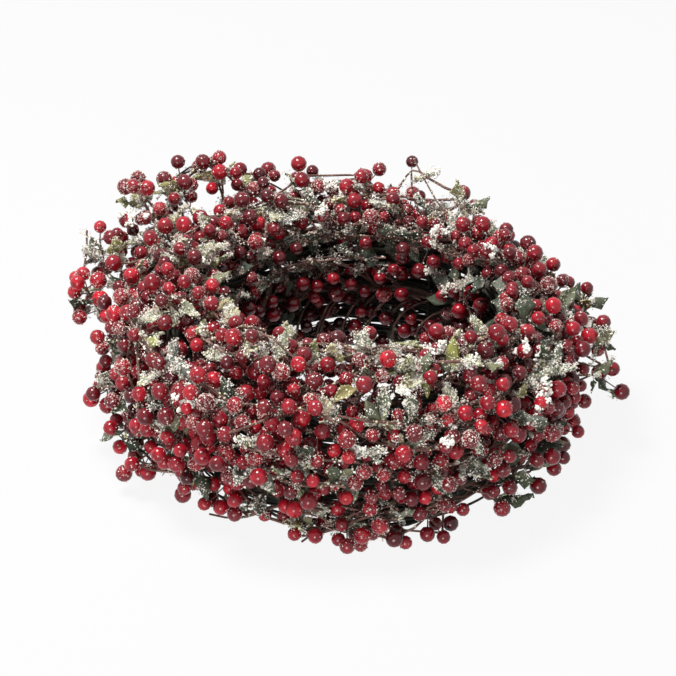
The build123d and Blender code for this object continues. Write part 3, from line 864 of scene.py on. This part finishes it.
every_middle = np.vstack([berry_middles[spray] for spray in spray_names])
every_radius = np.concatenate([berry_radii[spray] for spray in spray_names])
for spray in spray_names:
    triangles = mesh_triangles(berry_meshes[spray])
    cover = shown(triangles)
    tries = int(berry_tries * len(berry_radii[spray]) * cover.mean())
    faces = len(berry_shape.polygons)
    weights = np.repeat(bare_berry_weight + berry_frosts[spray], faces) * cover
    spots, _, picks = dust_points(frost_draw, triangles, weights, tries, berry_lean)
    gaps = gaps_to_next(spots, every_middle, every_radius)
    sugared = sugared_share * np.maximum(berry_frosts[spray][picks // faces] - sugared_least, 0)
    kept = frost_draw.random(tries) < np.exp(-np.maximum(gaps, 0) / crust_depth) + bare_share + sugared
    points = [spots[kept]]
    tints = [frost_draw.normal(*berry_tint, kept.sum())]
    crumbs = []
    stains = []
    for triangles, weights, tones in leaf_cuts[spray]:
        cover = shown(triangles)
        frosted = len(triangles) // leaf_faces * cover.mean()
        weights = weights * cover
        dust = int(leaf_grains * frosted)
        points.append(dust_points(frost_draw, triangles, weights, dust, dust_lean)[0])
        tints.append(frost_draw.normal(*leaf_tint, dust))
        lumps = int(leaf_lumps * frosted) + 1
        heaps = lump_points(frost_draw, triangles, weights, lumps, leaf_lump_grains, leaf_lump_spread)
        points.append(heaps[0])
        tints.append(heaps[1] + leaf_lump_tint)
        count = int(leaf_crumbs * frosted)
        spots, _, picks = dust_points(frost_draw, triangles, weights, count, crumb_lean)
        crumbs.append(spots)
        # Crumb stains follow the leaf tones, which also hold the leaves' painted light and shade.
        stains.append(tones[picks] * frost_draw.uniform(*leaf_stains, len(picks)))
    triangles = twig_triangles[spray]
    cover = shown(triangles)
    dust = int(twig_grains * cover.mean())
    points.append(dust_points(frost_draw, triangles, cover, dust, dust_lean)[0])
    tints.append(frost_draw.normal(*twig_tint, dust))
    lumps = int(twig_lumps * cover.mean())
    heaps = lump_points(frost_draw, triangles, cover, lumps, twig_lump_grains, twig_lump_spread)
    points.append(heaps[0])
    tints.append(heaps[1])
    points, tints = np.vstack(points), np.concatenate(tints)
    add_grains(spray + "_frost", grain_shape, grain_radius, points, tints, np.zeros(len(points)))
    dust = int(twig_crumbs * cover.mean())
    crumbs.append(dust_points(frost_draw, triangles, cover, dust, crumb_lean)[0])
    stains.append(twig_stain * frost_draw.uniform(*twig_stains, dust))
    crumbs, stains = np.vstack(crumbs), np.concatenate(stains)
    tints = frost_draw.normal(*crumb_tint, len(crumbs))
    add_grains(spray + "_crumbs", crumb_shape, small_crumb_radius, crumbs, tints, stains)

# Frost clumps
# Where the glue ran thick on upper faces, the grains lie in white heaps like snow.
# They are placed by chance on faces that look up, on the ring's shoulder and crest.
clump_count = 50
clump_floor = 0.06
clump_least_upward = 0.5
clump_least_reach = 0.005
clump_greatest_reach = 0.010
clump_lump_reach = 0.00115
clump_falloff = 3
clump_tint = (0.91, 0.05)
clump_crumbs = 22
clump_spread = 0.001
clump_triangles = np.vstack(
    [mesh_triangles(berry_meshes[spray]) for spray in spray_names]
    + [triangles for spray in spray_names for triangles, _, _ in leaf_cuts[spray]]
)
clump_middles = clump_triangles.mean(axis=1)
edges = clump_triangles[:, 1:] - clump_triangles[:, :1]
normals = np.cross(edges[:, 0], edges[:, 1])
upward = normals[:, 2] > clump_least_upward * np.linalg.norm(normals, axis=1)
chances = shown(clump_triangles) * (upward & (clump_middles[:, 2] > clump_floor))
clump_places = clump_middles[frost_draw.choice(len(chances), clump_count, p=chances / chances.sum())]
reach_span = clump_greatest_reach - clump_least_reach
clump_reaches = clump_least_reach + reach_span * frost_draw.random(clump_count) ** 2
points = []
for place, reach in zip(clump_places, clump_reaches):
    weights = np.exp(-clump_falloff * ((clump_middles - place) ** 2).sum(axis=1) / reach ** 2)
    lumps = int(reach / clump_lump_reach)
    heap, _ = lump_points(frost_draw, clump_triangles, weights, lumps, clump_crumbs, clump_spread)
    points.append(heap)
points = np.vstack(points)
tints = frost_draw.normal(*clump_tint, len(points))
add_grains("frost_clumps", crumb_shape, crumb_radius, points, tints, np.zeros(len(points)))

# Table
# A plain white surface that the ring stands on, wide enough to fill the view.
# It shows white to the camera and in reflections, and lights the ring as a pale grey top would.
table_size = 6.0
table_glow = 0.9
table_mesh = small_shape(
    "table", lambda bm: bmesh.ops.create_grid(bm, x_segments=1, y_segments=1, size=table_size), smooth=False
)
table = bpy.data.objects.new("table", table_mesh)
scene.collection.objects.link(table)
table_white, nodes, links, shader = new_material("white table")
shader.inputs["Base Color"].default_value = (0.5, 0.5, 0.5, 1)
shader.inputs["Roughness"].default_value = 0.9


def rays_seen(nodes, links):
    """One for rays that show the background: straight from the camera, reflected or let through."""
    path = nodes.new("ShaderNodeLightPath")
    mirrored = arithmetic(
        nodes, links, "MAXIMUM", path.outputs["Is Glossy Ray"], path.outputs["Is Transmission Ray"]
    )
    return arithmetic(nodes, links, "MAXIMUM", path.outputs["Is Camera Ray"], mirrored)


glow = nodes.new("ShaderNodeEmission")
blend = nodes.new("ShaderNodeMixShader")
links.new(arithmetic(nodes, links, "MULTIPLY", rays_seen(nodes, links), table_glow), blend.inputs["Fac"])
links.new(shader.outputs["BSDF"], blend.inputs[1])
links.new(glow.outputs["Emission"], blend.inputs[2])
links.new(blend.outputs["Shader"], nodes["Material Output"].inputs["Surface"])
table_mesh.materials.append(table_white)

# Light
# A large soft lamp nearly overhead on the left, a weak one low in front, and a plain pale room.
# The room shows white behind the ring, and lights it more weakly than it shows.
lamp_target = Vector((0, 0, 0.05))
for name, place, size, energy in (
    ("key", (-0.4, 0.1, 1.25), 0.4, 25.5),
    ("fill", (-0.2, -1.3, 0.26), 0.5, 10),
):
    lamp_data = bpy.data.lights.new(name, "AREA")
    lamp_data.size = size
    lamp_data.energy = energy
    lamp = bpy.data.objects.new(name, lamp_data)
    lamp.location = place
    lamp.rotation_euler = (Vector(place) - lamp_target).to_track_quat("Z", "Y").to_euler()
    scene.collection.objects.link(lamp)
room_strength = 0.115
world = bpy.data.worlds.new("room")
world.use_nodes = True
scene.world = world
nodes, links = world.node_tree.nodes, world.node_tree.links
background = nodes["Background"]
background.inputs["Color"].default_value = (1, 1, 1, 1)
room_light = value_range(nodes, links, rays_seen(nodes, links), room_strength, 1.0)
links.new(room_light, background.inputs["Strength"])
scene.view_settings.view_transform = "Standard"
